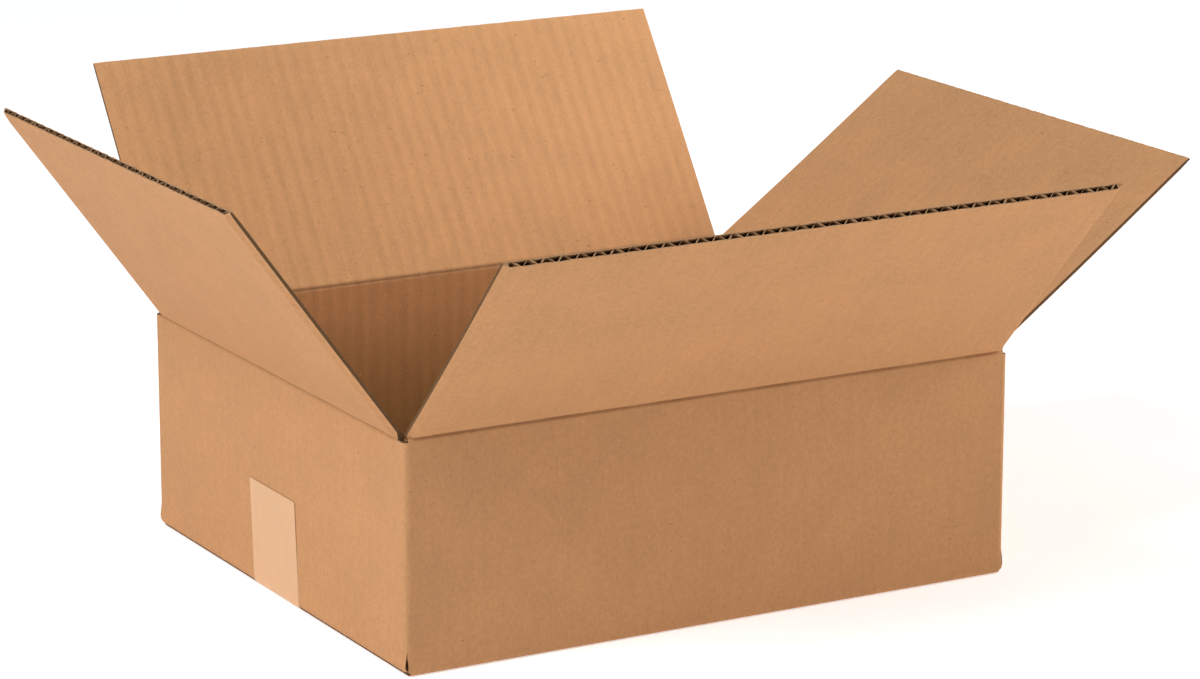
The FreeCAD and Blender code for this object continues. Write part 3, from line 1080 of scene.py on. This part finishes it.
@dataclass
class LongPanel(Panel):
    """Long wall. Its bottom flap is the outer one and reaches the middle seam."""

    seam: float = 0.8
    base_fold: float = 2.5
    lift: float = 0.12

    def bottom(self, profile: Profile) -> None:
        """Flat bottom flap, a rounded fold and the foot of the wall."""
        thick = BOARD.thickness
        fold = self.base_fold
        end = self.half - fold
        for d in (self.seam / 2, 1.4, 4.0, 30.0, 60.0, 90.0, 112.0, 122.0, 126.0):
            profile.add((d, self.lift), (min(d, end - 3.5), thick))
        corner = (self.half - thick - 0.8, thick + 0.8)
        for degrees in (0, 16, 32, 48):
            self.fold_row(profile, degrees, corner, 0.0)
        self.fold_row(profile, 64, corner, 1.0, "fold")
        for degrees in (77, 90):
            self.fold_row(profile, degrees, corner, 1.0)
        profile.add((self.half, 4.6), (self.half - thick, 6.6), 1.0)
        profile.add((self.half, 9.0), (self.half - thick, 10.0), 1.0, "wall")

    def fold_row(
        self, profile: Profile, degrees: float, corner: Pair, rounded: float, tag: str = ""
    ) -> None:
        """Add one row of the base fold.

        Args:
            profile: section that gets the row.
            degrees: turn from the underside to the wall.
            corner: middle of the small inner round.
            rounded: how far the upright corners are rounded.
            tag: name of the row.
        """
        t = math.radians(degrees)
        fold = self.base_fold
        outer = (
            self.half - fold + fold * math.sin(t),
            self.lift + fold - fold * math.cos(t),
        )
        inner = (corner[0] + 0.8 * math.sin(t), corner[1] - 0.8 * math.cos(t))
        profile.add(outer, inner, rounded, tag)


@dataclass
class ShortPanel(Panel):
    """Short wall. Its bottom flap is folded in first and lies on the long ones."""

    squeeze: float = 0.34
    base_end: float = 22.6
    layer: float = 4.2

    def bottom(self, profile: Profile) -> None:
        """Raised bottom flap, a fold that hooks over the long flaps, and the foot of the wall."""
        thick = BOARD.thickness
        low, high = self.layer, self.layer + thick
        for d in (self.base_end, self.base_end + 0.4, self.base_end + 1.5, 30.0, 60.0, 90.0, 120.0):
            profile.add((d, low), (d, high))
        profile.add((145.0, low), (145.0, high), 0.0, "base_root")
        rows = (
            ((150.0, 4.20), (149.4, 8.20)),
            ((152.8, 4.18), (150.8, 8.22)),
            ((153.9, 4.02), (151.4, 8.32)),
            ((154.32, 3.40), (151.8, 8.50)),
            ((154.38, 2.50), (152.05, 8.75)),
            ((154.75, 1.98), (152.25, 9.05)),
            ((155.35, 1.84), (152.38, 9.40), 1.0, "fold"),
            ((156.00, 2.12), (152.45, 9.80), 1.0),
            ((156.38, 2.80), (152.48, 10.3), 1.0),
            ((self.half, 4.2), (self.half - thick, 11.0), 1.0),
            ((self.half, 12.0), (self.half - thick, 14.0), 1.0, "wall"),
        )
        for row in rows:
            profile.add(*row)


@dataclass
class GlueTab:
    """Pressed tab that joins the ends of the blank inside the back right corner."""

    name: str = "glue_tab"
    root: float = 152.5
    width: float = 35.0
    low: float = 9.4
    high: float = 98.0
    taper: float = 9.0
    back: float = 128.46
    thickness: float = 3.4
    first_wave: float = 2.9
    pressed: float = 0.22
    ripple: float = 0.06
    bow: float = 0.05

    def build(self, materials: list[bpy.types.Material]) -> None:
        """Make the tab.

        Args:
            materials: finishes in the order of Finish.
        """
        tip = self.root - self.width
        x = BOARD.columns(tip, self.root, tip + self.first_wave, [])
        share = np.array([0.0, 0.008, 0.03, 0.08, 0.3, 0.5, 0.7, 0.92, 0.97, 0.992, 1.0])
        slant = self.taper * (self.root - x) / self.width
        low = self.low + slant
        high = self.high - slant
        z = low[None, :] + (high - low)[None, :] * share[:, None]
        from_tip = x - x[0]
        phase = (from_tip - self.first_wave) / BOARD.pitch
        bow = self.bow * soft_noise(z / 70.0 + x[None, :] / 90.0, 77)
        thin = self.pressed * np.clip(1 - from_tip / 3.0, 0, 1)[None, :]
        ripple = self.ripple * (0.5 - 0.5 * np.cos(2 * math.pi * phase))
        front = self.back - self.thickness * (1 - thin) + bow + ripple
        across = np.broadcast_to(x, z.shape)
        spot_out = np.stack([across, np.full_like(z, self.back), z], axis=-1)
        spot_in = np.stack([across, front, z], axis=-1)
        level = BOARD.levels(phase)
        filled = np.ones((z.shape[0] - 1, z.shape[1] - 1, LAYERS), bool)
        filled[:, :, HOLLOW] = False
        sheet = SheetMesh(layered(spot_out, spot_in, level), filled)
        sheet.coat(x[None, :, None], z[:, :, None], level[None] * 50.0)
        sheet.store("flute", phase[None, :, None])
        sheet.store("fold", 1.0)
        near = np.minimum(np.minimum(z - low, high - z), from_tip[None, :])
        sheet.store("edge", near[:, :, None] * MM)
        piece = sheet.build(self.name, materials)
        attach(piece, "carton")


@dataclass
class BottomTape:
    """One strip of tape under the middle seam that turns up both short walls.

    Start is the height where an end begins to slant, skew how far it slants, and proud the
    share of the gauge that stands off the walls.
    """

    name: str = "packing_tape"
    half_length: float = 156.5
    half_width: float = 24.0
    leg: float = 51.2
    start: float = 6.0
    skew: float = 2.8
    gauge: float = 0.07
    proud: float = 0.9
    tooth: float = 1.3
    bite: float = 0.3

    def path(self) -> tuple[Array, Array]:
        """Line of the strip from the right end to the left one.

        Returns:
            Points (x, z) of the outer face, and its outward normals.
        """
        x = self.half_length
        leg = self.leg
        right = [(x, leg), (x, leg - 0.7), (x, leg - 3), (x, 36.0), (x, 20.0), (x, self.start)]
        turn = [(x, 4.2), (x - 0.14, 2.7), (x - 0.55, 1.7), (x - 1.3, 0.95), (x - 2.3, 0.40)]
        under = [(x - 3.6, 0.16), (x - 6.0, 0.09), (x - 12.0, 0.09), (90.0, 0.09), (40.0, 0.09)]
        half = np.array(right + turn + under)
        left = half[::-1] * np.array([-1.0, 1.0])
        line = np.concatenate([half, [[0.0, 0.09]], left])
        step = np.gradient(line, axis=0)
        step /= np.linalg.norm(step, axis=1, keepdims=True)
        normal = np.stack([-step[:, 1], step[:, 0]], axis=-1)
        return line, normal

    def build(self, material: bpy.types.Material) -> None:
        """Make the strip.

        Args:
            material: finish of the tape.
        """
        line, normal = self.path()
        count = int(round(2 * self.half_width / self.tooth)) * 2
        y = np.linspace(-self.half_width, self.half_width, count + 1)
        high = np.clip((line[:, 1] - self.start) / (self.leg - self.start), 0, 1)
        lean = self.skew * high * (line[:, 0] < 0)
        across = y[None, :] + lean[:, None]
        bite = np.zeros(across.shape)
        bite[0] = bite[-1] = self.bite * (np.arange(len(y)) % 2)
        surfaces = []
        for depth in (0.0, self.gauge):
            x = line[:, 0][:, None] - normal[:, 0][:, None] * (depth - self.gauge * self.proud)
            z = line[:, 1][:, None] - normal[:, 1][:, None] * depth - bite
            surfaces.append(np.stack([np.broadcast_to(x, across.shape), across, z], axis=-1))
        filled = np.ones((len(line) - 1, len(y) - 1, 1), bool)
        sheet = SheetMesh(np.stack(surfaces, axis=2), filled)
        run = run_length(line)
        sheet.coat(y[None, :, None], run[:, None, None], 0.0)
        side = (self.half_width - np.abs(y))[None, :]
        near = np.minimum(np.minimum(run, run[-1] - run)[:, None], side)
        sheet.store("edge", near[:, :, None] * MM)
        piece = sheet.build(self.name, [material] * len(Finish))
        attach(piece, "carton")
        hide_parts("bottom_tape")


@dataclass
class Studio:
    """Pale floor, soft lights and the camera."""

    eye: Triple = (-0.96988, -1.75577, 0.61952)
    look: Triple = (0.47346, 0.84475, -0.24946)
    lens: float = 131.89
    floor_half: float = 14.0

    def camera(self) -> None:
        """Camera at the photograph's place."""
        data = bpy.data.cameras.new("camera")
        data.lens = self.lens
        data.sensor_width = 36.0
        data.clip_start = 0.05
        data.clip_end = 60.0
        camera = add_object("camera", data)
        point_at(camera, self.eye, Vector(self.look))
        bpy.context.scene.camera = camera

    def floor(self) -> None:
        """Pale floor."""
        size = self.floor_half
        corners = [(-size, -size, 0), (size, -size, 0), (size, size, 0), (-size, size, 0)]
        mesh = bpy.data.meshes.new("floor")
        mesh.from_pydata(corners, [], [(0, 1, 2, 3)])
        mesh.materials.append(PlainStage().make())
        floor = add_object("floor", mesh)

    def light(
        self, name: str, spot: Triple, size: float, power: float, tint: Triple = WHITE
    ) -> None:
        """Soft square light that points at the box.

        Args:
            name: name of the light.
            spot: where it hangs.
            size: side of the square.
            power: watts.
            tint: colour.
        """
        data = bpy.data.lights.new(name, "AREA")
        data.shape = "SQUARE"
        data.size = size
        data.energy = power
        data.color = tint
        middle = Vector((0.0, 0.0, 0.1))
        point_at(add_object(name, data), spot, middle - Vector(spot))

    def world(self, strength: float) -> None:
        """White surroundings of one strength."""
        world = bpy.data.worlds.new("white_room")
        world.use_nodes = True
        background = world.node_tree.nodes["Background"]
        background.inputs["Color"].default_value = (1.0, 1.0, 1.0, 1.0)
        background.inputs["Strength"].default_value = strength
        bpy.context.scene.world = world

    def build(self) -> None:
        """Set up the whole studio."""
        self.camera()
        self.floor()
        cool = (0.97, 1.0, 1.05)
        self.light("left_low", (-2.6, -0.5, 0.7), 1.2, 6.0, cool)
        self.light("left_high", (-2.0, -0.2, 2.2), 1.4, 56.0, cool)
        self.light("overhead", (0.0, 0.0, 2.8), 2.0, 5.0)
        self.light("right_fill", (2.6, -0.8, 1.4), 1.6, 65.0)
        self.world(0.15)
        bpy.context.scene.view_settings.view_transform = "Standard"


def main() -> None:
    """Load the frame and build the carton around it."""
    logging.basicConfig(level=logging.INFO, format="%(message)s")
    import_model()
    Studio().build()
    # Painted light on the outer paper: across the front panel it lightens to the right, and the
    # other panels take its lighter end.
    outer = KraftFacing(
        "kraft_outside", (0.538, 0.281, 0.130), 0.012, 0.0, 0.16, painted_light_gradient=-0.03, span=(0.26, 0.54)
    ).make()
    inside = (0.643, 0.343, 0.160)
    # A lighter copy of the same inner paper for the long panels: painted light, with stronger
    # painted flute shading.
    painted_lit_inside = (0.692, 0.369, 0.171)
    # Painted shade of the inner walls far below the score.
    deep = (0.52, 0.575, 0.49)
    # Painted light on the long panels' inner paper: lighter to the right across the back panel, and
    # lighter all over on the front one.
    striped = KraftFacing("kraft_inside_painted_light", painted_lit_inside, 0.062, 0.5, 0.42, deep, 0.10).make()
    plain = KraftFacing("kraft_inside", inside, 0.014, 0.5, 0.42, deep).make()
    edges = [
        # Flute hollows darken to near black away from the cut: painted shade.
        RawPaper("flute_paper", (0.52, 0.30, 0.15), (0.07, 0.034, 0.014)).make(),
        RawPaper("cut_edge", (0.50, 0.29, 0.15)).make(),
        # Near-black cut sides of the flaps: painted shade of the narrow groove where the board is
        # pressed thin.
        RawPaper("pressed_side_painted_shade", (0.16, 0.085, 0.038)).make(),
        RawPaper("medium_edge", (0.40, 0.225, 0.11)).make(),
    ]
    long_finishes = [outer, striped, *edges]
    short_finishes = [outer, plain, *edges]
    long_sizes = {
        "half": 132.5, "half_along": 156.5, "flap_half": 154.25, "score": 2.0,
        "score_height": 108.4, "reach": 130.1, "groove": 0.8, "groove_width": 0.62,
    }
    short_sizes = {
        "half": 156.5, "half_along": 132.5, "flap_half": 125.5, "score": 0.0,
        "score_height": 106.2, "reach": 132.3, "groove": 0.5, "groove_width": 0.85,
    }
    front = LongPanel("front_panel", "front_flap", 0.0, 43.5, seed=1, **long_sizes)
    back = LongPanel("back_panel", "back_flap", 180.0, 35.1, seed=2, **long_sizes)
    left = ShortPanel("left_panel", "left_flap", -90.0, 36.1, seed=3, **short_sizes)
    right = ShortPanel("right_panel", "right_flap", 90.0, 54.1, seed=4, **short_sizes)
    front.build(long_finishes, ["front_flap", "carton"])
    back.build(long_finishes, ["back_flap"])
    left.build(short_finishes, ["left_flap"])
    right.build(short_finishes, ["right_flap"])
    GlueTab().build(short_finishes)
    BottomTape().build(TapeFilm().make())


if __name__ == "__main__":
    main()
